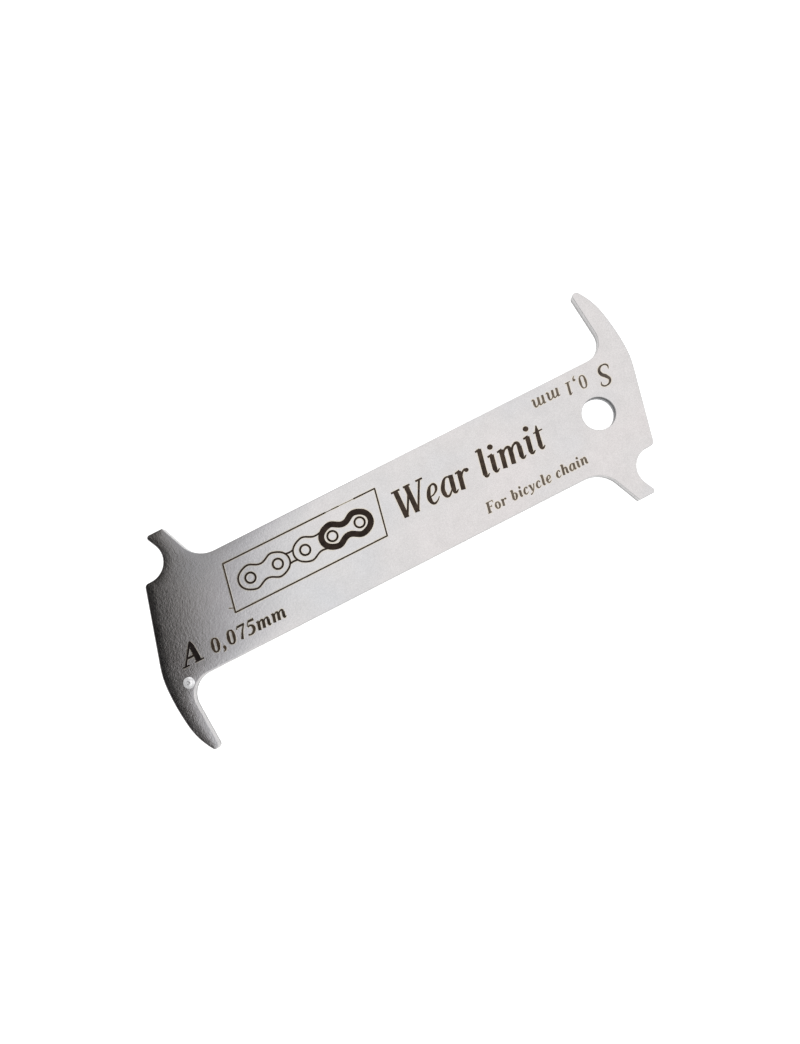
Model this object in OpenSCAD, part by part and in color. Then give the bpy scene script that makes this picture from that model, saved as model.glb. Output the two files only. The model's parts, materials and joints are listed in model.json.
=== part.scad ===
// Chain wear gauge: one flat hardened plate with a measuring horn and a roller seat at each end,
// and a small pressed-in pin that tells its two ends apart by touch.
//
// Frame: millimetres, +X along the plate towards the S end, +Y towards the S horn, +Z up through the
// thickness. The origin is the middle of the outline's box on the back face, and the back face is z = 0.
//
// The S gauge is the +Y edge of the plate: seat at -X, horn at +X. The A gauge is the same shape turned
// half a turn about Z. With the plate's edge along the chain, one roller lies in the seat and another
// touches the back of the far horn when the chain has reached the wear limit.

/* [Chain] */
// Pitch of the chain, from roller to roller
chain_pitch = 12.7; // [10:0.1:16]
// Number of pitches between the two rollers that are measured
pitch_count = 8; // [5:1:12]
// Diameter of the chain's rollers
roller_d = 7.75; // [6:0.05:9.5]
// Wear for each pitch at which the S horn drops in
limit_s = 0.1; // [0:0.005:0.25]
// Wear for each pitch at which the A horn drops in
limit_a = 0.075; // [0:0.005:0.25]

/* [Plate] */
// Width of the plate between its long edges
plate_w = 19.6; // [14:0.1:24]
// Thickness of the plate, which has to pass between the chain's inner plates
plate_t = 2; // [1:0.1:3]
// Lean of both end edges from square, in degrees
end_lean = 14.5; // [5:0.5:17]
// Radius of the corner between an end edge and a long edge
corner_r = 0.8; // [0.3:0.1:1.2]

/* [Roller seat and nose] */
// Radial clearance of the seat around the roller
seat_gap = 0.02; // [0:0.01:0.1]
// Height of the nose beyond the long edge
nose_h = 8; // [7:0.1:10]
// Width of the nose where the seat is deepest
nose_w = 3.85; // [2.5:0.05:6]
// Lean of the nose's inner flank, in degrees
nose_lean = 22.5; // [10:0.5:30]
// Lean of the short lip at the end of the seat, in degrees
lip_lean = 26; // [18:1:32]
// Radius of the nose's outer corner
lip_r = 0.6; // [0.2:0.05:0.8]
// Radius of the nose's inner corner
nose_r = 0.3; // [0.1:0.05:0.6]
// Radius of the fillet between the nose and the long edge
nose_fillet = 5.2; // [2:0.1:8]

/* [Measuring horn] */
// Distance that the S horn's working face stands outside the seat of the same end
horn_lead = 5.6; // [5:0.1:8]
// Height of the horn beyond the long edge
horn_h = 12.9; // [12:0.1:16]
// Width of the horn at the height of the roller centres
horn_w = 3.6; // [3.2:0.1:5]
// Lean of the horn's inner flank, in degrees
horn_lean = 3.8; // [0:0.2:8]
// Radius of the horn's tip
tip_r = 0.8; // [0.6:0.05:1.2]
// Radius of the fillet between the horn and the long edge
horn_fillet = 4.05; // [2:0.05:6]
// Radius of the horn's working face
face_r = 44; // [30:1:80]
// Radius that blends the end edge into the working face
shoulder_r = 17.5; // [10:0.5:28]
// Height of the working face's outermost point, measured down from the roller centres
face_drop = 4.4; // [3:0.1:6]
// Height of the end of the working face, measured up from the roller centres
face_rise = 3.2; // [2:0.1:4.5]

/* [Hanging hole] */
// Diameter of the hanging hole
hole_d = 6.3; // [3:0.1:9]
// Distance of the hole from the S end edge, along the middle of the plate
hole_inset = 8.9; // [6:0.1:20]

/* [Index pin] */
// Diameter of the pin and of the bore that it is pressed into
pin_d = 2.1; // [1:0.1:3]
// Wall left between the pin and the A horn's fillet
pin_wall = 0.35; // [0.2:0.05:1]
// Direction of the pin seen from the centre of that fillet, in degrees from the long edge
pin_angle = 46; // [30:1:70]
// Height of the pin's domed head above the plate
pin_dome = 0.35; // [0.1:0.05:0.8]

/* [Hidden] */
$fn = 120;

// How far the piece that rounds a corner reaches past it.
bite = 0.3;

roller_r = roller_d / 2;
seat_r = roller_r + seat_gap;
edge_y = plate_w / 2;
roller_y = edge_y + roller_r;
nose_end = edge_y + nose_h;
horn_end = edge_y + horn_h;
face_y = roller_y - face_drop;
face_turn = asin((face_drop + face_rise) / face_r);

function along(angle, distance) = [distance * cos(angle), distance * sin(angle)];
function heading(v) = atan2(v[1], v[0]);

// Distance from the seated roller's centre to the far horn's working face, for a wear limit.
function reach(limit) = pitch_count * (chain_pitch + limit) - roller_r;

// Both seats are as far from the middle, so the horns take up the difference between the limits.
seat_x = (reach(limit_s) - horn_lead) / 2;
seat_centre = [seat_x, -(edge_y + seat_r)];
seat_end = seat_centre + along(180 + lip_lean, seat_r);

// The functions below describe the S end, which is at +X, with its horn at +Y and its nose at -Y.
// The A end is the same with the other limit, turned half a turn.

// The face's outermost point: a roller at the wear limit is tangent to the face.
function face_x(limit) =
    reach(limit) - seat_x + roller_r + face_r - sqrt(pow(face_r + roller_r, 2) - pow(face_drop, 2));
function face_centre(limit) = [face_x(limit) - face_r, face_y];
function face_end(limit) = face_centre(limit) + along(face_turn, face_r);
function shoulder_centre(limit) = [face_x(limit) - shoulder_r, face_y];

// X of the sloping edges, at a height.
function end_x(limit, y) =
    face_x(limit) - shoulder_r + shoulder_r / cos(end_lean) + (y - face_y) * tan(end_lean);
function flank_x(limit, y) = reach(limit) - seat_x - horn_w - (y - roller_y) * tan(horn_lean);
function nose_x(y) = seat_x - seat_r - nose_w - (y + roller_y) * tan(nose_lean);
function lip_x(y) = seat_end[0] - (y - seat_end[1]) * tan(lip_lean);

// Centres of the rounds, each tangent to the two edges that it joins.
function corner_centre(limit) =
    [end_x(limit, corner_r - edge_y) - corner_r / cos(end_lean), corner_r - edge_y];
function tip_centre(limit) =
    [flank_x(limit, horn_end - tip_r) + tip_r / cos(horn_lean), horn_end - tip_r];
function horn_fillet_centre(limit) =
    [flank_x(limit, edge_y + horn_fillet) - horn_fillet / cos(horn_lean), edge_y + horn_fillet];
nose_fillet_centre =
    [nose_x(-edge_y - nose_fillet) - nose_fillet / cos(nose_lean), -edge_y - nose_fillet];
lip_centre = [lip_x(lip_r - nose_end) - lip_r / cos(lip_lean), lip_r - nose_end];
nose_centre = [nose_x(nose_r - nose_end) + nose_r / cos(nose_lean), nose_r - nose_end];

// The horn's back: an arc tangent to the working face's end and to the tip's round.
function back_r(limit) =
    let (gap = tip_centre(limit) - face_end(limit))
    (pow(tip_r, 2) - gap * gap) / (2 * (gap * along(face_turn, 1) + tip_r));
function back_centre(limit) = face_end(limit) - along(face_turn, back_r(limit));
function back_turn(limit) = heading(tip_centre(limit) - back_centre(limit));

// Where the two tangents of an arc meet.
function apex(centre, r, from, to) = centre + along((from + to) / 2, r / cos((to - from) / 2));

// One end's corners, from the nose round to the horn, before they are rounded.
function end_points(limit) = [
    [nose_x(-edge_y), -edge_y],
    [nose_x(-nose_end), -nose_end],
    [lip_x(-nose_end), -nose_end],
    seat_end,
    seat_centre,
    [seat_x, -edge_y],
    [end_x(limit, -edge_y), -edge_y],
    apex(shoulder_centre(limit), shoulder_r, -end_lean, 0),
    apex(face_centre(limit), face_r, 0, face_turn),
    apex(back_centre(limit), back_r(limit), face_turn, back_turn(limit)),
    apex(tip_centre(limit), tip_r, back_turn(limit), 180 + horn_lean),
    [flank_x(limit, edge_y), edge_y]
];

hole_x = end_x(limit_s, 0) - hole_inset;
pin_centre = -horn_fillet_centre(limit_a)
    - along(-pin_angle, horn_fillet + pin_wall + pin_d / 2);

// Middle of the outline's box, measured from the middle between the seats.
box_x = (face_x(limit_s) - face_x(limit_a)) / 2;

// The piece between an arc and the corner of its tangents. It fills an inner corner, or is cut
// from an outer one.
module web(centre, r, from, to) {
    difference() {
        polygon([
            centre,
            centre + along(from, r),
            apex(centre, r, from, to) + along((from + to) / 2, bite),
            centre + along(to, r)
        ]);
        translate(centre) circle(r);
    }
}

// What is added to one end: the fillets of its horn and its nose.
module end_fillets(limit) {
    web(horn_fillet_centre(limit), horn_fillet, -90, horn_lean);
    web(nose_fillet_centre, nose_fillet, nose_lean, 90);
}

// What is cut from one end: the roller seat, the outer corners and the curved back of the horn.
module end_cuts(limit) {
    translate(seat_centre) circle(seat_r);
    web(corner_centre(limit), corner_r, -90, -end_lean);
    web(lip_centre, lip_r, -90, lip_lean);
    web(nose_centre, nose_r, 180 + nose_lean, 270);
    web(shoulder_centre(limit), shoulder_r, -end_lean, 0);
    web(face_centre(limit), face_r, 0, face_turn);
    web(back_centre(limit), back_r(limit), face_turn, back_turn(limit));
    web(tip_centre(limit), tip_r, back_turn(limit), 180 + horn_lean);
}

module outline() {
    difference() {
        union() {
            polygon(concat(end_points(limit_s), -1 * end_points(limit_a)));
            end_fillets(limit_s);
            rotate(180) end_fillets(limit_a);
        }
        end_cuts(limit_s);
        rotate(180) end_cuts(limit_a);
        translate([hole_x, 0]) circle(d = hole_d);
        translate(pin_centre) circle(d = pin_d);
    }
}

// The hardened plate: horns, noses, roller seats, hanging hole and the pin's bore.
module gauge_plate() {
    color([0.78, 0.78, 0.80])
        translate([-box_x, 0, 0])
            linear_extrude(plate_t) outline();
}

// The pin: flush with the back face, with a domed head that stands above the front face.
module index_pin() {
    dome_r = (pow(pin_d / 2, 2) + pow(pin_dome, 2)) / (2 * pin_dome);
    color([0.90, 0.90, 0.92])
        translate([pin_centre[0] - box_x, pin_centre[1], 0])
            rotate_extrude()
                intersection() {
                    square([pin_d / 2, plate_t + pin_dome]);
                    union() {
                        square([pin_d / 2, plate_t]);
                        translate([0, plate_t + pin_dome - dome_r]) circle(dome_r);
                    }
                }
}

gauge_plate();
index_pin();
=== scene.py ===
"""Chain wear gauge: a stamped and hardened steel plate with laser marks and a pressed-in pin.

Lengths are in metres in the frame of the CAD model: +X towards the S end, +Y towards the S horn,
+Z out of the marked front face. The back face is z = 0.
"""

import json
from math import cos, pi, radians, sin, sqrt, tan

import bmesh
import bpy
from mathutils import Matrix, Vector
from mathutils.bvhtree import BVHTree


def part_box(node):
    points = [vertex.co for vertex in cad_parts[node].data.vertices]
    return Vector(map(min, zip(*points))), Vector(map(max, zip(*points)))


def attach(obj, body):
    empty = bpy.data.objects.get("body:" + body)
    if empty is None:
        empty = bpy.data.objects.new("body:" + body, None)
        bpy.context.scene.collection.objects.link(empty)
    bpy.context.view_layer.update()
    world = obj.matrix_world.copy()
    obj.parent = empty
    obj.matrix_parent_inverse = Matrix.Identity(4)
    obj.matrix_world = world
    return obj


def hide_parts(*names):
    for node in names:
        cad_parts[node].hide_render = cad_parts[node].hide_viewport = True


MM = 0.001

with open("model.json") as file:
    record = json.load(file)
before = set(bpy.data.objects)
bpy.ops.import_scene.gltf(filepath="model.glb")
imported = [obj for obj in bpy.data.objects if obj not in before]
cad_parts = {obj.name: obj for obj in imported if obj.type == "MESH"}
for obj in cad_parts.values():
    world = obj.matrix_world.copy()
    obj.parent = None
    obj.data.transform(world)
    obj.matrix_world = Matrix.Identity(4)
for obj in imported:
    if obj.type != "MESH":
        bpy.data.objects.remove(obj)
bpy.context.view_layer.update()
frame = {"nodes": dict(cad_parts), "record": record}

PLATE_LOW, PLATE_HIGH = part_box("gauge_plate")
FRONT = PLATE_HIGH.z
PIN_LOW, PIN_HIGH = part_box("index_pin")
PIN_CENTRE = (PIN_LOW + PIN_HIGH) / 2
PIN_RADIUS = (PIN_HIGH.x - PIN_LOW.x) / 2
MOUNTS = {mount["name"]: mount for mount in frame["record"]["mounts"]}
HOLE_CENTRE = Vector(MOUNTS["hanging_hole"]["pos_m"])
HOLE_RADIUS = MOUNTS["hanging_hole"]["dims"]["r_mm"] * MM


# ---------------------------------------------------------------- camera

CAMERA_AIM = Vector((-0.85, -1.25, 2.0)) * MM
CAMERA_DISTANCE = 156.6 * MM
CAMERA_TILT = radians(7.12)
CAMERA_SIDE = radians(-110.3)
CAMERA_UP = radians(62.93)
SENSOR = 36.0
FOCAL_LENGTH = 29.31


def place_camera():
    """Looks almost straight down on the front face, with the S end up and to the right."""
    away = Vector((
        sin(CAMERA_TILT) * cos(CAMERA_SIDE),
        sin(CAMERA_TILT) * sin(CAMERA_SIDE),
        cos(CAMERA_TILT),
    ))
    heading = Vector((cos(CAMERA_UP), sin(CAMERA_UP), 0.0))
    right = heading.cross(away).normalized()
    up = away.cross(right)
    turn = Matrix((right, up, away)).transposed().to_4x4()
    lens = bpy.data.cameras.new("camera")
    lens.sensor_fit = "VERTICAL"
    lens.sensor_height = SENSOR
    lens.lens = FOCAL_LENGTH
    lens.clip_start = 0.005
    lens.clip_end = 20.0
    camera = bpy.data.objects.new("camera", lens)
    camera.matrix_world = Matrix.Translation(CAMERA_AIM + away * CAMERA_DISTANCE) @ turn
    bpy.context.collection.objects.link(camera)
    bpy.context.scene.camera = camera


# ---------------------------------------------------------------- pieces

# Points closer together than this are one point.
MERGE = 0.0004 * MM


def smooth_mesh(name, bm, sharp_angle):
    """A mesh with smooth faces, and with sharp edges where faces meet at more than the angle."""
    for face in bm.faces:
        face.smooth = True
    mesh = bpy.data.meshes.new(name)
    bm.to_mesh(mesh)
    bm.free()
    mesh.set_sharp_from_angle(angle=sharp_angle)
    return mesh


def add_piece(name, mesh, materials):
    """Puts a finished mesh into the scene as a piece of the gauge, which is a single body."""
    piece = bpy.data.objects.new(name, mesh)
    bpy.context.collection.objects.link(piece)
    for material in materials:
        mesh.materials.append(material)
    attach(piece, "root")
    return piece


# ---------------------------------------------------------------- nodes of materials


def new_material(name):
    """A new material, its node tree and its shader."""
    material = bpy.data.materials.new(name)
    material.use_nodes = True
    tree = material.node_tree
    return material, tree, tree.nodes["Principled BSDF"]


def fill(tree, filled, inputs):
    """Gives inputs of a node, by name or index, a link, a number, a vector or a colour."""
    for name, value in inputs.items():
        socket = filled.inputs[name]
        if isinstance(value, bpy.types.NodeSocket):
            tree.links.new(value, socket)
        elif socket.type == "RGBA":
            socket.default_value = (*value, 1.0)
        else:
            socket.default_value = value


def add_node(tree, kind, inputs, result, **settings):
    """Adds a node with these inputs and settings, and returns one of its outputs."""
    made = tree.nodes.new(kind)
    for name, value in settings.items():
        setattr(made, name, value)
    fill(tree, made, inputs)
    return made.outputs[result]


def on_piece(tree):
    """Coordinates that are fixed to the piece."""
    return add_node(tree, "ShaderNodeTexCoord", {}, "Object")


def noise(tree, place, size, detail=3.0, roughness=0.5):
    """A noise pattern with features of about the given size."""
    return add_node(tree, "ShaderNodeTexNoise", {
        "Vector": place, "Scale": 1.0 / size, "Detail": detail, "Roughness": roughness,
    }, "Fac")


def ramp(tree, factor, stops):
    """A colour ramp on a factor, with stops of (position, colour)."""
    made = tree.nodes.new("ShaderNodeValToRGB")
    elements = made.color_ramp.elements
    while len(elements) < len(stops):
        elements.new(0.5)
    for element, (position, colour) in zip(elements, stops):
        element.position = position
        element.color = (*colour, 1.0)
    tree.links.new(factor, made.inputs["Fac"])
    return made.outputs["Color"]


def calculate(tree, operation, first, second):
    """The result of a sum on two numbers or links."""
    return add_node(tree, "ShaderNodeMath", {0: first, 1: second}, "Value", operation=operation)


def map_range(tree, value, low, high, to_low, to_high):
    """Takes a value from one range to another, and keeps it inside."""
    return add_node(tree, "ShaderNodeMapRange", {
        "Value": value, "From Min": low, "From Max": high, "To Min": to_low, "To Max": to_high,
    }, "Result")


def mix_colour(tree, blend, factor, first, second):
    """The first colour, blended with the second by the factor."""
    return add_node(
        tree, "ShaderNodeMix", {"Factor": factor, 6: first, 7: second}, 2,
        data_type="RGBA", blend_type=blend,
    )


def bump(tree, height, strength, depth, below=None):
    """The normal of a fine relief, laid over the relief below where there is one."""
    inputs = {"Height": height, "Strength": strength, "Distance": depth}
    if below is not None:
        inputs["Normal"] = below
    return add_node(tree, "ShaderNodeBump", inputs, "Normal")


# ---------------------------------------------------------------- materials


def satin_steel():
    """The ground and tumbled front and back faces: fine grain, faint clouds, bright worn rims."""
    material, tree, shader = new_material("satin_steel")
    place = on_piece(tree)
    rim = add_node(tree, "ShaderNodeAttribute", {}, "Fac", attribute_name="rim_distance")
    clouds = noise(tree, place, 14 * MM, detail=2.0)
    mottle = noise(tree, place, 2.6 * MM, detail=4.0, roughness=0.6)
    grain = noise(tree, place, 0.21 * MM, detail=2.0, roughness=0.7)
    specks = noise(tree, place, 0.45 * MM, detail=2.0, roughness=0.65)

    tint = ramp(tree, clouds, (
        (0.30, (0.490, 0.490, 0.500)),
        (0.50, (0.510, 0.500, 0.500)),
        (0.70, (0.525, 0.508, 0.508)),
    ))
    shade = map_range(tree, mottle, 0.3, 0.7, 0.96, 1.03)
    colour = mix_colour(tree, "MULTIPLY", 1.0, tint, shade)
    fine = map_range(tree, grain, 0.35, 0.65, 0.93, 1.04)
    rough = map_range(tree, mottle, 0.3, 0.7, 0.09, 0.11)
    worn_width = 0.45 * MM
    worn = map_range(tree, rim, 0.0, worn_width, -0.03, 0.0)
    coarse = bump(tree, specks, 1.0, 0.0055 * MM)
    fill(tree, shader, {
        "Base Color": mix_colour(tree, "MULTIPLY", 1.0, colour, fine),
        "Roughness": calculate(tree, "ADD", rough, worn),
        "Normal": bump(tree, grain, 1.0, 0.0032 * MM, coarse),
        "Metallic": 1.0,
    })
    return material


def stamped_wall(name, sheared_and_painted_shade, torn, roughness):
    """A stamped wall: short shear lines along the thickness and a duller, torn lower part.

    Each part has the colours of its darkest and its lightest patches. On the hanging hole's wall,
    the upper part's colours are painted shade.
    """
    material, tree, shader = new_material(name)
    place = on_piece(tree)
    drawn_out = add_node(
        tree, "ShaderNodeMapping", {"Vector": place, "Scale": (1.0, 1.0, 0.12)}, "Vector",
    )
    lines = noise(tree, drawn_out, 0.16 * MM, detail=3.0, roughness=0.6)
    tears = noise(tree, place, 0.5 * MM, detail=4.0, roughness=0.7)
    height = add_node(tree, "ShaderNodeSeparateXYZ", {"Vector": place}, "Z")
    ragged = calculate(tree, "ADD", height, calculate(tree, "MULTIPLY", tears, 0.5 * MM))
    upper = map_range(tree, ragged, 1.0 * MM, 1.3 * MM, 0.0, 1.0)
    upper_band_colour = ramp(tree, lines, ((0.3, sheared_and_painted_shade[0]), (0.7, sheared_and_painted_shade[1])))
    torn_colour = ramp(tree, tears, ((0.3, torn[0]), (0.7, torn[1])))
    deep_tears = bump(tree, tears, 0.35, 0.02 * MM)
    fill(tree, shader, {
        "Base Color": mix_colour(tree, "MIX", upper, torn_colour, upper_band_colour),
        "Roughness": map_range(tree, upper, 0.0, 1.0, roughness + 0.18, roughness),
        "Normal": bump(tree, lines, 0.5, 0.01 * MM, deep_tears),
        "Metallic": 1.0,
    })
    return material


def polished_pin_steel():
    """The pin's head: polished, with faint turning rings and small scuffs."""
    material, tree, shader = new_material("polished_pin_steel")
    place = on_piece(tree)
    centred = add_node(tree, "ShaderNodeMapping", {
        "Vector": place, "Location": (-PIN_CENTRE.x, -PIN_CENTRE.y, 0.0),
    }, "Vector")
    ring_width = 0.25 * MM
    rings = add_node(tree, "ShaderNodeTexWave", {
        "Vector": centred, "Scale": 0.5 / ring_width, "Distortion": 0.6,
    }, "Fac", wave_type="RINGS", rings_direction="Z")
    scuffs = noise(tree, place, 0.4 * MM, detail=4.0, roughness=0.7)
    fill(tree, shader, {
        "Base Color": ramp(tree, scuffs, ((0.3, (0.58, 0.58, 0.59)), (0.6, (0.74, 0.74, 0.75)))),
        "Roughness": map_range(tree, scuffs, 0.35, 0.7, 0.20, 0.32),
        "Normal": bump(tree, rings, 0.25, 0.004 * MM),
        "Metallic": 1.0,
    })
    return material


def laser_mark(name, deep, faded):
    """An annealed laser mark: a thin dark oxide, uneven from one pulse to the next."""
    material, tree, shader = new_material(name)
    place = on_piece(tree)
    patches = noise(tree, place, 1.1 * MM, detail=3.0, roughness=0.6)
    pulses = noise(tree, place, 0.18 * MM, detail=2.0, roughness=0.6)
    oxide = ramp(tree, patches, ((0.34, deep), (0.70, faded)))
    fine = map_range(tree, pulses, 0.3, 0.7, 0.78, 1.12)
    fill(tree, shader, {
        "Base Color": mix_colour(tree, "MULTIPLY", 1.0, oxide, fine),
        "Roughness": map_range(tree, patches, 0.3, 0.7, 0.42, 0.6),
        "Normal": bump(tree, pulses, 0.4, 0.006 * MM),
        "Specular IOR Level": 0.08,
    })
    return material


def heat_tint():
    """The straw-coloured oxide that surrounds a laser mark on steel."""
    material, tree, shader = new_material("heat_tint")
    patches = noise(tree, on_piece(tree), 0.9 * MM, detail=3.0, roughness=0.6)
    fill(tree, shader, {
        "Base Color": ramp(tree, patches, (
            (0.35, (0.50, 0.455, 0.39)),
            (0.55, (0.56, 0.53, 0.47)),
            (0.70, (0.57, 0.54, 0.55)),
        )),
        "Roughness": map_range(tree, patches, 0.3, 0.7, 0.13, 0.17),
        "Metallic": 1.0,
    })
    return material


# ---------------------------------------------------------------- plate

EDGE_ROUND = 0.12 * MM
ROUND_STEPS = 4
# A flat strip that follows the rounded rim all the way round.
RIM_FLAT = 0.1 * MM
# The CAD outline's points that are closer together than this are merged.
SLIVER = 0.045 * MM
# The bore's rim is rounded by this part of the others, because the pin fills it.
BORE_ROUND = 0.12
BORE_MARGIN = 0.05 * MM
GRID = 0.5 * MM
# Keeps the grid off the plate's own edges.
GRID_SHIFT = 0.37
GRID_SNAP = 0.001 * MM
# The die roll sinks the front face at its rims, and the back face a little less.
ROLL_WIDTH = 1.8 * MM
ROLL_DROP = 0.017 * MM
BURR_WIDTH = 0.6 * MM
BURR_DROP = 0.012 * MM
# How far the normal of a wall leans out of the plate's plane at most: of a CAD wall, and of a face
# that has a wall's finish.
CAD_WALL_LEAN = 0.5
WALL_LEAN = 0.35
MITRE_LIMIT = 0.5
PLATE_SHARP = radians(38)


def near_axis(face, centre, radius):
    """Whether a face lies on the wall of a bore with this centre and radius."""
    return all((v.co - centre).xy.length < radius + BORE_MARGIN for v in face.verts)


def outline_loops():
    """The CAD plate's outline, hole and bore, as clean closed loops at half its thickness.

    Every point carries the way into the metal, scaled so that the offset edges stay parallel.
    """
    bm = bmesh.new()
    bm.from_mesh(frame["nodes"]["gauge_plate"].data)
    bmesh.ops.remove_doubles(bm, verts=bm.verts, dist=MERGE)
    bm.normal_update()
    inward = bm.verts.layers.float_vector.new("inward")
    keep = set()
    for edge in bm.edges:
        walls = [f for f in edge.link_faces if abs(f.normal.z) < CAD_WALL_LEAN]
        if len(walls) == 1 and max(v.co.z for v in edge.verts) < FRONT / 2:
            keep.add(edge)
            for vert in edge.verts:
                vert[inward] = vert[inward] - walls[0].normal
    bmesh.ops.delete(bm, geom=bm.faces[:], context="FACES_ONLY")
    bmesh.ops.delete(bm, geom=[e for e in bm.edges if e not in keep], context="EDGES")
    bmesh.ops.delete(bm, geom=[v for v in bm.verts if not v.link_edges], context="VERTS")
    bmesh.ops.remove_doubles(bm, verts=bm.verts, dist=SLIVER)
    for vert in bm.verts:
        one, other = [(e.other_vert(vert).co - vert.co).normalized() for e in vert.link_edges]
        along = (one - other).normalized()
        across = Vector((along.y, -along.x, 0.0))
        if across.dot(vert[inward]) < 0:
            across.negate()
        mitre = abs(Vector((one.y, -one.x, 0.0)).dot(across))
        vert[inward] = across / max(MITRE_LIMIT, mitre)
        if (vert.co - PIN_CENTRE).xy.length < PIN_RADIUS + BORE_MARGIN:
            vert[inward] = vert[inward] * BORE_ROUND
    bmesh.ops.translate(bm, verts=bm.verts, vec=(0.0, 0.0, FRONT / 2))
    return bm, inward


def raise_rim(bm, ring, inward, inset, lift):
    """Extrudes a ring of rim edges into the metal and upwards, and returns the new ring."""
    made = bmesh.ops.extrude_edge_only(bm, edges=ring)["geom"]
    for vert in (part for part in made if isinstance(part, bmesh.types.BMVert)):
        vert.co += vert[inward] * inset
        vert.co.z += lift
    return [part for part in made if isinstance(part, bmesh.types.BMEdge)]


def upper_half():
    """The upper half of the plate: its walls, their rounded rims and the front face."""
    bm, inward = outline_loops()
    ring = raise_rim(bm, bm.edges[:], inward, 0.0, FRONT / 2 - EDGE_ROUND)
    turn = 0.0
    for step in range(1, ROUND_STEPS + 1):
        last, turn = turn, radians(90) * step / ROUND_STEPS
        inset = EDGE_ROUND * (cos(last) - cos(turn))
        lift = EDGE_ROUND * (sin(turn) - sin(last))
        ring = raise_rim(bm, ring, inward, inset, lift)
    ring = raise_rim(bm, ring, inward, RIM_FLAT, 0.0)
    bmesh.ops.triangle_fill(bm, edges=ring, use_beauty=True, normal=(0.0, 0.0, 1.0))
    bmesh.ops.recalc_face_normals(bm, faces=bm.faces)
    if sum(f.normal.z * f.calc_area() for f in bm.faces) < 0:
        bmesh.ops.reverse_faces(bm, faces=bm.faces)
    bm.normal_update()
    return bm


def cut_into_grid(bm):
    """Cuts walls and front face along a square grid, so that the face can be curved at its rims."""
    for axis, low, high in ((0, PLATE_LOW.x, PLATE_HIGH.x), (1, PLATE_LOW.y, PLATE_HIGH.y)):
        across = Vector((axis == 0, axis == 1, 0.0))
        for step in range(1, int((high - low) / GRID) + 1):
            place = low + (step - GRID_SHIFT) * GRID
            parts = set()
            for face in bm.faces:
                spread = [v.co[axis] for v in face.verts]
                if min(spread) < place < max(spread):
                    parts.add(face)
                    parts.update(face.edges)
                    parts.update(face.verts)
            bmesh.ops.bisect_plane(
                bm, geom=list(parts), dist=GRID_SNAP, plane_co=across * place, plane_no=across,
            )


def roll_rims(bm):
    """Sinks the faces towards the rims, and gives every point its distance from them.

    The bore is left out, because the pin fills it.
    """
    walls = bmesh.new()
    walls.from_mesh(frame["nodes"]["gauge_plate"].data)
    walls.normal_update()
    bmesh.ops.delete(walls, context="FACES", geom=[
        f for f in walls.faces
        if abs(f.normal.z) > CAD_WALL_LEAN or near_axis(f, PIN_CENTRE, PIN_RADIUS)
    ])
    rims = BVHTree.FromBMesh(walls)
    walls.free()
    distance = bm.verts.layers.float.new("rim_distance")
    for vert in bm.verts:
        nearest = rims.find_nearest(vert.co)[3]
        vert[distance] = nearest
        if vert.co.z > FRONT - EDGE_ROUND - MERGE and nearest < ROLL_WIDTH:
            vert.co.z -= ROLL_DROP * (1.0 - nearest / ROLL_WIDTH) ** 2
        elif vert.co.z < EDGE_ROUND + MERGE and nearest < BURR_WIDTH:
            vert.co.z += BURR_DROP * (1.0 - nearest / BURR_WIDTH) ** 2


def make_plate():
    """The plate with rounded rims, and with the die roll of stamping round its faces."""
    bm = upper_half()
    cut_into_grid(bm)
    bmesh.ops.mirror(
        bm, geom=bm.verts[:] + bm.edges[:] + bm.faces[:], axis="Z", merge_dist=GRID_SNAP,
        matrix=Matrix.Translation((0.0, 0.0, -FRONT / 2)),
    )
    bmesh.ops.recalc_face_normals(bm, faces=bm.faces)
    bmesh.ops.triangulate(bm, faces=[f for f in bm.faces if len(f.verts) > 4])
    roll_rims(bm)
    bm.normal_update()
    faces_finish, profile_finish, hole_with_painted_shade = range(3)
    for face in bm.faces:
        face.material_index = faces_finish
        if abs(face.normal.z) < WALL_LEAN:
            in_hole = near_axis(face, HOLE_CENTRE, HOLE_RADIUS)
            face.material_index = hole_with_painted_shade if in_hole else profile_finish
    mesh = smooth_mesh("gauge_plate_steel", bm, PLATE_SHARP)
    plate = add_piece("gauge_plate_steel", mesh, (
        satin_steel(),
        stamped_wall(
            "profile_wall",
            sheared_and_painted_shade=((0.300, 0.296, 0.296), (0.440, 0.435, 0.435)),
            torn=((0.210, 0.207, 0.207), (0.396, 0.392, 0.392)),
            roughness=0.30,
        ),
        # The hanging hole's wall is painted near black in its upper part. This is painted shade for
        # the dark that this wall mirrors from inside the hole. Its torn lower part has the steel's
        # own tone.
        stamped_wall(
            "hole_wall_painted_shade",
            sheared_and_painted_shade=((0.030, 0.031, 0.034), (0.080, 0.081, 0.085)),
            torn=((0.220, 0.222, 0.230), (0.420, 0.422, 0.430)),
            roughness=0.42,
        ),
    ))
    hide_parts("gauge_plate")


# ---------------------------------------------------------------- pin

HEAD_RISE = PIN_HIGH.z - FRONT
DOME_RADIUS = (PIN_RADIUS ** 2 + HEAD_RISE ** 2) / (2 * HEAD_RISE)
DIMPLE_RADIUS = 0.42 * MM
DIMPLE_DEPTH = 0.045 * MM
PIN_ROUND = 0.06 * MM
HEAD_RINGS = 22
PIN_SIDES = 64
PIN_SHARP = radians(50)


def head_height(radius):
    """Height of the pin's domed head, with the small dimple left by the press punch."""
    height = PIN_HIGH.z - DOME_RADIUS + sqrt(DOME_RADIUS ** 2 - radius ** 2)
    if radius < DIMPLE_RADIUS:
        height -= DIMPLE_DEPTH * (1.0 + cos(pi * radius / DIMPLE_RADIUS)) / 2
    return height


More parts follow.
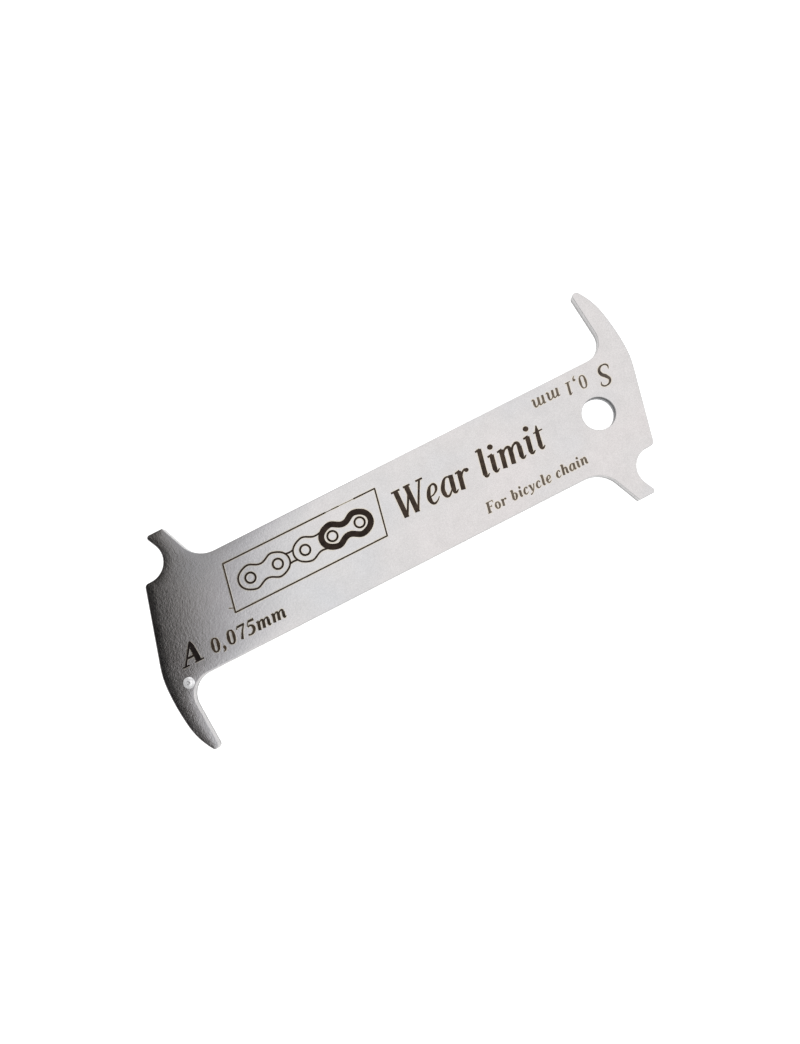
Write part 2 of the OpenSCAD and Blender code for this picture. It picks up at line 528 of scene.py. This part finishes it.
def make_pin():
    """The pin, spun from its profile: flush behind with a rounded edge, domed in front."""
    bm = bmesh.new()
    profile = [(0.0, 0.0), (PIN_RADIUS - PIN_ROUND, 0.0)]
    profile += [
        (PIN_RADIUS - PIN_ROUND * (1 - sin(turn)), PIN_ROUND * (1 - cos(turn)))
        for turn in (radians(30), radians(60), radians(90))
    ]
    profile += [
        (PIN_RADIUS * ring / HEAD_RINGS, head_height(PIN_RADIUS * ring / HEAD_RINGS))
        for ring in range(HEAD_RINGS, -1, -1)
    ]
    points = [
        bm.verts.new((PIN_CENTRE.x + radius, PIN_CENTRE.y, height)) for radius, height in profile
    ]
    edges = [bm.edges.new(pair) for pair in zip(points, points[1:])]
    bmesh.ops.spin(
        bm, geom=points + edges, cent=(PIN_CENTRE.x, PIN_CENTRE.y, 0.0), axis=(0, 0, 1),
        angle=2 * pi, steps=PIN_SIDES, use_merge=True,
    )
    bmesh.ops.remove_doubles(bm, verts=bm.verts, dist=MERGE)
    bmesh.ops.recalc_face_normals(bm, faces=bm.faces)
    mesh = smooth_mesh("index_pin_steel", bm, PIN_SHARP)
    pin = add_piece("index_pin_steel", mesh, (polished_pin_steel(),))
    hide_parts("index_pin")


# ---------------------------------------------------------------- letters

# Every letter is drawn with strokes, in cap heights, upright and from the left of its own space.
# A stroke's points are (x, y, half width).
STEM = 0.082
HAIR = 0.042
SERIF = 0.035


def bar(x0, y0, x1, y1, start=STEM, end=None):
    """A straight stroke, which may widen or narrow towards its end."""
    return ("bar", ((x0, y0, start), (x1, y1, start if end is None else end)))


def bend(*points):
    """A stroke that curves through its points."""
    return ("bend", points)


def oval(x0, y0, x1, y1, side=STEM, cap=HAIR):
    """A closed bowl between two corners, thick at its sides and thin at its top and foot."""
    mid_x = (x0 + x1) / 2
    mid_y = (y0 + y1) / 2
    return ("ring", (
        (x0 + side, mid_y, side), (mid_x, y1 - cap, cap),
        (x1 - side, mid_y, side), (mid_x, y0 + cap, cap),
    ))


def blob(x, y, radius):
    """A round dot."""
    return ("bend", tuple(
        (x + radius * step, y, radius * max(0.12, sqrt(1 - step * step)))
        for step in (-1.0, -0.87, -0.5, 0.0, 0.5, 0.87, 1.0)
    ))


def foot(x0, x1, y=SERIF):
    """A flat serif, at the foot unless a height is given."""
    return bar(x0, y, x1, y, SERIF)


def flag(x, y):
    """The slanting serif at the head of a small letter's stem."""
    return bar(x - 0.14, y - 0.045, x + 0.03, y - 0.012, SERIF)


def tail(x):
    """The upturned end at the foot of a small letter's stem."""
    return bend((x, 0.16, 0.075), (x + 0.03, 0.045, 0.05), (x + 0.15, 0.09, 0.016))


def arch(x):
    """The shoulder that leads from one stem to the next of n, m and h."""
    return bend((x, 0.40, HAIR), (x + 0.13, 0.585, 0.036), (x + 0.235, 0.59, 0.058),
                (x + 0.29, 0.46, 0.078))


# Each letter's advance to the next, and its strokes.
LETTERS = {
    " ": (0.30, ()),
    ",": (0.32, (blob(0.14, 0.08, 0.095),
                 bend((0.18, 0.05, 0.055), (0.17, -0.07, 0.046), (0.06, -0.20, 0.018)))),
    "0": (0.62, (oval(0.03, 0.0, 0.55, 1.0, 0.088, 0.038),)),
    "1": (0.46, (bar(0.22, 0.02, 0.22, 0.97, 0.08), bar(0.06, 0.86, 0.24, 0.955, 0.02, 0.04),
                 foot(0.05, 0.39))),
    "5": (0.60, (bar(0.16, 0.925, 0.53, 0.925, 0.06, 0.07), bar(0.17, 0.93, 0.10, 0.60, 0.024),
                 bend((0.10, 0.58, 0.03), (0.28, 0.62, 0.05), (0.45, 0.38, 0.085),
                      (0.36, 0.09, 0.065), (0.18, 0.03, 0.035), (0.04, 0.08, 0.05)))),
    "7": (0.58, (bar(0.06, 0.925, 0.54, 0.925, 0.06), bar(0.075, 0.92, 0.04, 0.76, 0.03),
                 bend((0.52, 0.92, 0.03), (0.36, 0.50, 0.045), (0.26, 0.0, 0.075)))),
    "A": (1.02, (bar(0.13, 0.02, 0.54, 0.96, 0.046), bar(0.54, 1.0, 0.60, 0.74, 0.04, 0.118),
                 bar(0.60, 0.74, 0.80, 0.02, 0.118, 0.128), bar(0.26, 0.34, 0.72, 0.34, 0.046),
                 foot(0.0, 0.32), foot(0.60, 1.04))),
    "F": (0.66, (bar(0.20, 0.0, 0.20, 1.0, 0.088), bar(0.05, 0.968, 0.62, 0.968, 0.032),
                 bar(0.20, 0.52, 0.46, 0.52, 0.03), bar(0.61, 0.98, 0.63, 0.76, 0.03, 0.012),
                 bar(0.46, 0.63, 0.46, 0.41, 0.02), foot(0.05, 0.38))),
    "S": (0.64, (bend((0.50, 0.70, 0.018), (0.50, 0.86, 0.045), (0.32, 0.965, 0.034),
                      (0.13, 0.80, 0.062), (0.24, 0.58, 0.09), (0.42, 0.38, 0.09),
                      (0.45, 0.17, 0.066), (0.26, 0.035, 0.034), (0.08, 0.14, 0.045),
                      (0.07, 0.31, 0.018)),)),
    "W": (1.08, (bar(0.15, 0.97, 0.32, 0.03, 0.086), bar(0.335, 0.03, 0.60, 0.90, 0.038),
                 bar(0.53, 0.97, 0.70, 0.03, 0.086), bar(0.715, 0.03, 0.99, 0.97, 0.038),
                 foot(0.0, 0.30, 0.975), foot(0.42, 0.66, 0.975), foot(0.86, 1.10, 0.975))),
    "a": (0.60, (bend((0.41, 0.56, 0.03), (0.30, 0.635, 0.03), (0.13, 0.44, 0.07),
                      (0.11, 0.17, 0.078), (0.20, 0.035, 0.045), (0.34, 0.12, 0.028),
                      (0.42, 0.28, 0.02)),
                 bar(0.44, 0.64, 0.44, 0.12), tail(0.44))),
    "b": (0.60, (bar(0.15, 0.10, 0.15, 0.98), flag(0.15, 0.98),
                 bend((0.16, 0.42, HAIR), (0.30, 0.62, 0.034), (0.43, 0.50, 0.07),
                      (0.43, 0.25, 0.078), (0.28, 0.03, 0.034), (0.15, 0.10, 0.06)))),
    "c": (0.47, (blob(0.35, 0.53, 0.062),
                 bend((0.36, 0.60, 0.03), (0.27, 0.635, 0.03), (0.12, 0.44, 0.07),
                      (0.10, 0.20, 0.078), (0.20, 0.035, 0.045), (0.32, 0.06, 0.026),
                      (0.42, 0.17, 0.015)))),
    "e": (0.49, (bend((0.12, 0.27, 0.022), (0.29, 0.33, 0.028), (0.38, 0.47, 0.05),
                      (0.34, 0.61, 0.044), (0.24, 0.625, 0.032), (0.12, 0.46, 0.068),
                      (0.10, 0.21, 0.078), (0.20, 0.035, 0.045), (0.32, 0.06, 0.026),
                      (0.42, 0.17, 0.015)),)),
    "h": (0.60, (bar(0.14, 0.0, 0.14, 0.98), flag(0.14, 0.98), arch(0.15),
                 bar(0.44, 0.47, 0.44, 0.10), tail(0.44))),
    "i": (0.35, (bar(0.15, 0.10, 0.15, 0.62), flag(0.15, 0.64), tail(0.15),
                 blob(0.17, 0.87, 0.095))),
    "l": (0.35, (bar(0.15, 0.10, 0.15, 0.98), flag(0.15, 0.98), tail(0.15))),
    "m": (0.93, (bar(0.14, 0.0, 0.14, 0.62), flag(0.14, 0.64), arch(0.15),
                 bar(0.44, 0.47, 0.44, 0.0), arch(0.46), bar(0.75, 0.47, 0.75, 0.10),
                 tail(0.75))),
    "n": (0.61, (bar(0.14, 0.0, 0.14, 0.62), flag(0.14, 0.64), arch(0.15),
                 bar(0.44, 0.47, 0.44, 0.10), tail(0.44))),
    "o": (0.54, (oval(0.02, 0.0, 0.49, 0.65, 0.078, 0.038),)),
    "r": (0.50, (bar(0.14, 0.0, 0.14, 0.62), flag(0.14, 0.64),
                 bend((0.16, 0.38, HAIR), (0.26, 0.55, 0.032), (0.36, 0.60, 0.04)),
                 blob(0.39, 0.545, 0.075))),
    "t": (0.40, (bend((0.17, 0.82, 0.02), (0.155, 0.62, 0.07), (0.15, 0.14, 0.08)), tail(0.15),
                 bar(0.02, 0.615, 0.34, 0.615, 0.026))),
    "y": (0.54, (bar(0.12, 0.62, 0.25, 0.05, 0.078, 0.06), flag(0.13, 0.64),
                 bend((0.45, 0.62, 0.045), (0.38, 0.26, 0.035), (0.22, -0.10, 0.03),
                      (0.08, -0.23, 0.03)),
                 blob(0.07, -0.19, 0.055))),
}


# ---------------------------------------------------------------- laser marks

SLANT = tan(radians(13))
WIDEST_STRETCH = 1.2
MARK_RISE = 0.004 * MM
TINT_RISE = 0.0015 * MM
TINT_WIDTH = 0.11 * MM
# A stroke's round tube is squashed flat above this half thickness.
THIN_STROKE = 0.03 * MM
# Strokes are drawn this far apart, and end up apart by this part of their rise.
LEVEL_GAP = 10 * MM
LEVEL_STEP = 0.05
LEVELS = 9
MARK_SHARP = radians(30)


def stroke_tubes(name, strokes, grow):
    """A bmesh of round tubes along the strokes, each on a level of its own."""
    curve = bpy.data.curves.new(name, "CURVE")
    curve.dimensions = "3D"
    curve.resolution_u = 8
    curve.bevel_depth = MM
    curve.bevel_resolution = 2
    curve.use_fill_caps = True
    for level, (kind, points) in enumerate(strokes):
        spline = curve.splines.new("BEZIER")
        spline.bezier_points.add(len(points) - 1)
        spline.use_cyclic_u = kind == "ring"
        spline.radius_interpolation = "LINEAR"
        for knot, (x, y, width) in zip(spline.bezier_points, points):
            knot.co = (x, y, level * LEVEL_GAP)
            knot.radius = (width + grow) / MM
            style = "VECTOR" if kind == "bar" else "AUTO"
            knot.handle_left_type = style
            knot.handle_right_type = style
    drawn = bpy.data.objects.new(name, curve)
    bpy.context.collection.objects.link(drawn)
    mesh = bpy.data.meshes.new_from_object(
        drawn.evaluated_get(bpy.context.evaluated_depsgraph_get())
    )
    bpy.data.objects.remove(drawn)
    bpy.data.curves.remove(curve)
    bm = bmesh.new()
    bm.from_mesh(mesh)
    bpy.data.meshes.remove(mesh)
    return bm


def strokes_mesh(name, strokes, grow, rise):
    """Lays strokes on the front face as flat ribbons, each with a top of its own.

    The tops are a little apart, so that the faces of crossing strokes don't coincide.
    """
    bm = stroke_tubes(name, strokes, grow)
    for vert in bm.verts:
        level = round(vert.co.z / LEVEL_GAP)
        height = max(-1.0, min(1.0, (vert.co.z - level * LEVEL_GAP) / THIN_STROKE))
        vert.co.z = FRONT + rise * height * (1.0 + LEVEL_STEP * (level % LEVELS))
    bmesh.ops.remove_doubles(bm, verts=bm.verts, dist=MERGE)
    bmesh.ops.dissolve_degenerate(bm, edges=bm.edges, dist=MERGE)
    bmesh.ops.recalc_face_normals(bm, faces=bm.faces)
    return smooth_mesh(name, bm, MARK_SHARP)


def add_mark(name, strokes, material, tint):
    """Adds a mark and, a little wider and lower, the heat tint round it."""
    add_piece(name, strokes_mesh(name, strokes, 0.0, MARK_RISE), (material,))
    name = name + "_tint"
    add_piece(name, strokes_mesh(name, strokes, TINT_WIDTH, TINT_RISE), (tint,))


# From here on, places and sizes on the front face are given in millimetres.


def lettering(words, left, baseline, cap, width, weight, turned=False):
    """Strokes of a line of slanting letters that starts at left and is as long as width.

    A turned line runs the other way and stands on its head.
    """
    natural = cap * sum(LETTERS[letter][0] for letter in words)
    stretch = min(WIDEST_STRETCH, width / natural)
    tracking = (width - natural * stretch) / max(1, len(words) - 1)
    facing = -1.0 if turned else 1.0
    pen = 0.0
    strokes = []
    for letter in words:
        advance, shapes = LETTERS[letter]
        for kind, points in shapes:
            strokes.append((kind, [
                (
                    (left + facing * (pen + cap * (x * stretch + y * SLANT))) * MM,
                    (baseline + facing * cap * y) * MM,
                    cap * half * weight * MM,
                )
                for x, y, half in points
            ]))
        pen += cap * advance * stretch + tracking
    return strokes


def line(x0, y0, x1, y1, half):
    """A straight line of this half width."""
    return bar(x0 * MM, y0 * MM, x1 * MM, y1 * MM, half * MM)


def slanted_frame():
    """The slanting frame round the pictogram. Its upper line is worn away in two places."""
    thin = 0.165
    worn = 0.12
    faint = 0.085
    trace = 0.7 * faint
    return [
        line(-33.45, 6.72, -12.3, 6.62, thin),
        line(-12.3, 6.62, -11.2, 6.61, faint),
        line(-11.2, 6.61, -9.6, 6.58, worn),
        line(-9.6, 6.58, -6.6, 6.53, trace),
        line(-6.6, 6.53, -2.1, 6.47, thin),
        line(-2.2, 6.5, -4.1, -2.5, thin),
        line(-4.0, -2.45, -35.2, -2.36, thin),
        line(-35.1, -2.4, -33.35, 6.75, thin),
        line(-35.9, -1.1, -34.9, -1.55, faint),
    ]


LINK_PITCH = 5.6
LINK_MIDDLE = 2.1
LINK_START = -29.9


def circle(x, y, radius, half):
    """A round outline through four points."""
    return ("ring", [
        ((x + radius * cos(turn)) * MM, (y + radius * sin(turn)) * MM, half * MM)
        for turn in (0.0, pi / 2, pi, 3 * pi / 2)
    ])


def link_outline(x, radius, waist, half, closed=True):
    """The outline of one link plate from a roller to the next, where it may be left open."""
    middle = x + LINK_PITCH / 2
    end = x + LINK_PITCH
    points = [
        (end, -radius), (middle, -waist), (x, -radius), (x - radius, 0.0),
        (x, radius), (middle, waist), (end, radius),
    ]
    if closed:
        points.append((end + radius, 0.0))
    return (
        "ring" if closed else "bend",
        [(px * MM, (LINK_MIDDLE + py) * MM, half * MM) for px, py in points],
    )


def link_waist(x, reach, height, waist, half):
    """The part of a link plate that shows between the plates that cover its ends."""
    return [
        ("bend", [
            ((x + reach) * MM, (LINK_MIDDLE + side * height) * MM, half * MM),
            ((x + LINK_PITCH / 2) * MM, (LINK_MIDDLE + side * waist) * MM, half * MM),
            ((x + LINK_PITCH - reach) * MM, (LINK_MIDDLE + side * height) * MM, half * MM),
        ])
        for side in (-1.0, 1.0)
    ]


def chain_pictogram():
    """A short run of chain: two covering links, one covered link and a bold last link."""
    first, second, third, last = (LINK_START + step * LINK_PITCH for step in range(4))
    strokes = [
        link_outline(first, radius=2.3, waist=1.5, half=0.2),
        link_outline(third, radius=2.3, waist=1.5, half=0.2, closed=False),
        link_outline(last, radius=2.1, waist=1.15, half=0.62),
    ]
    strokes += link_waist(second, reach=2.08, height=1.0, waist=0.92, half=0.2)
    for x in (first, second, third, last, last + LINK_PITCH):
        strokes.append(circle(x, LINK_MIDDLE, radius=0.95, half=0.22))
    return strokes


# The darkest and the most faded colour of each mark's oxide.
OXIDES = {
    "mark_black": ((0.006, 0.004, 0.004), (0.016, 0.011, 0.009)),
    "mark_dark": ((0.014, 0.009, 0.007), (0.036, 0.024, 0.018)),
    "mark_sepia": ((0.032, 0.022, 0.016), (0.072, 0.050, 0.036)),
    "mark_brown": ((0.022, 0.016, 0.011), (0.058, 0.042, 0.028)),
    "mark_umber": ((0.062, 0.048, 0.041), (0.135, 0.110, 0.090)),
    "mark_pale": ((0.105, 0.083, 0.064), (0.190, 0.155, 0.122)),
}


def make_marks():
    """The words, the framed pictogram of a chain, and each end's letter with its wear limit."""
    marks = (
        ("mark_words", "mark_sepia", lettering(
            "Wear limit", left=-1.2, baseline=-1.25, cap=5.6, width=31.4, weight=1.08)),
        ("mark_use", "mark_pale", lettering(
            "For bicycle chain", left=14.2, baseline=-7.35, cap=2.0, width=21.1, weight=1.55)),
        ("mark_frame", "mark_brown", slanted_frame()),
        ("mark_chain", "mark_dark", chain_pictogram()),
        ("mark_a", "mark_black", lettering(
            "A", left=-48.0, baseline=-7.25, cap=4.0, width=4.15, weight=1.12)),
        ("mark_a_value", "mark_brown", lettering(
            "0,075mm", left=-42.1, baseline=-7.3, cap=2.6, width=15.1, weight=1.5)),
        ("mark_s", "mark_umber", lettering(
            "S", left=47.8, baseline=8.0, cap=4.1, width=3.05, weight=1.05, turned=True)),
        ("mark_s_value", "mark_pale", lettering(
            "0,1 mm", left=42.9, baseline=7.95, cap=2.55, width=11.6, weight=1.2, turned=True)),
    )
    tint = heat_tint()
    oxides = {name: laser_mark(name, *colours) for name, colours in OXIDES.items()}
    for name, oxide, strokes in marks:
        add_mark(name, strokes, oxides[oxide], tint)


# ---------------------------------------------------------------- studio

FLOOR_SIZE = 3.0
FLOOR_GAP = 0.0001 * MM
FLOOR_GLOW = 0.75
PANEL_SIZE = 0.45
PANEL_POWER = 0.3
# Strength of the sky overhead, and at its two sides.
SKY_TOP = 1.45
SKY_LEFT = 0.7
SKY_RIGHT = 1.15
# The sky counts as overhead from the first height to the second, where 1 is straight up.
OVERHEAD = (0.80, 0.88)


def pale_floor():
    """A floor that glows softly, just below the back of the plate."""
    bm = bmesh.new()
    bmesh.ops.create_grid(bm, x_segments=1, y_segments=1, size=FLOOR_SIZE / 2)
    mesh = bpy.data.meshes.new("floor")
    bm.to_mesh(mesh)
    bm.free()
    floor = bpy.data.objects.new("floor", mesh)
    bpy.context.collection.objects.link(floor)
    material, tree, shader = new_material("pale_floor")
    fill(tree, shader, {
        "Base Color": (0.86, 0.86, 0.86),
        "Roughness": 0.9,
        "Specular IOR Level": 0.1,
        "Emission Color": (1.0, 1.0, 1.0),
        "Emission Strength": FLOOR_GLOW,
    })
    mesh.materials.append(material)
    floor.location.z = -FLOOR_GAP


def soft_panel(name, place):
    """A square soft light that faces the middle of the gauge."""
    light = bpy.data.lights.new(name, "AREA")
    light.shape = "SQUARE"
    light.size = PANEL_SIZE
    light.energy = PANEL_POWER
    panel = bpy.data.objects.new(name, light)
    turn = place.to_track_quat("Z", "Y").to_matrix().to_4x4()
    panel.matrix_world = Matrix.Translation(place) @ turn
    bpy.context.collection.objects.link(panel)


def sky_band(tree, view, across, stops):
    """Brightness of the sky across one direction, with stops of (slope, brightness)."""
    slope = add_node(
        tree, "ShaderNodeVectorMath", {0: view, 1: across}, "Value", operation="DOT_PRODUCT",
    )
    place = map_range(tree, slope, -1.0, 1.0, 0.0, 1.0)
    return ramp(tree, place, [((at + 1) / 2, brightness) for at, brightness in stops])


def soft_sky():
    """A pale sky with one dark gap overhead, which the satin face mirrors at its A end."""
    world = bpy.data.worlds.new("studio")
    bpy.context.scene.world = world
    world.use_nodes = True
    tree = world.node_tree
    view = add_node(tree, "ShaderNodeTexCoord", {}, "Generated")
    fade = sky_band(tree, view, (1.0, -0.6, 0.0), (
        (-0.300, (0.390, 0.385, 0.385)),
        (-0.267, (0.430, 0.430, 0.440)),
        (-0.242, (0.540, 0.545, 0.570)),
        (-0.218, (0.700, 0.710, 0.735)),
        (-0.193, (0.840, 0.850, 0.865)),
        (-0.160, (0.980, 0.980, 0.980)),
        (0.100, (1.000, 0.985, 0.980)),
    ))
    gap = sky_band(tree, view, (1.0, -0.25, 0.0), (
        (-0.440, (1.0, 1.0, 1.0)),
        (-0.370, (0.01, 0.01, 0.01)),
        (-0.282, (0.0, 0.0, 0.0)),
        (-0.274, (0.13, 0.12, 0.10)),
        (-0.266, (0.48, 0.45, 0.41)),
        (-0.252, (0.84, 0.82, 0.80)),
        (-0.240, (0.94, 0.93, 0.93)),
        (-0.225, (1.0, 1.0, 1.0)),
    ))
    parts = tree.nodes.new("ShaderNodeSeparateXYZ")
    tree.links.new(view, parts.inputs["Vector"])
    overhead = map_range(tree, parts.outputs["Z"], *OVERHEAD, 0.0, 1.0)
    dimmed = mix_colour(tree, "MULTIPLY", 1.0, fade, gap)
    top = calculate(tree, "MULTIPLY", overhead, SKY_TOP)
    sides = map_range(tree, parts.outputs["X"], -1.0, 1.0, SKY_LEFT, SKY_RIGHT)
    below = calculate(tree, "MULTIPLY", calculate(tree, "SUBTRACT", 1.0, overhead), sides)
    fill(tree, tree.nodes["Background"], {
        "Color": mix_colour(tree, "MIX", overhead, (1.0, 1.0, 1.0), dimmed),
        "Strength": calculate(tree, "ADD", top, below),
    })


def make_studio():
    """The floor, the sky and two soft panels."""
    pale_floor()
    soft_sky()
    soft_panel("panel_right", Vector((0.60, -0.25, 0.45)))
    soft_panel("panel_back", Vector((0.25, 0.70, 0.40)))
    bpy.context.scene.view_settings.view_transform = "Standard"


# ---------------------------------------------------------------- build

place_camera()
make_studio()
make_plate()
make_pin()
make_marks()
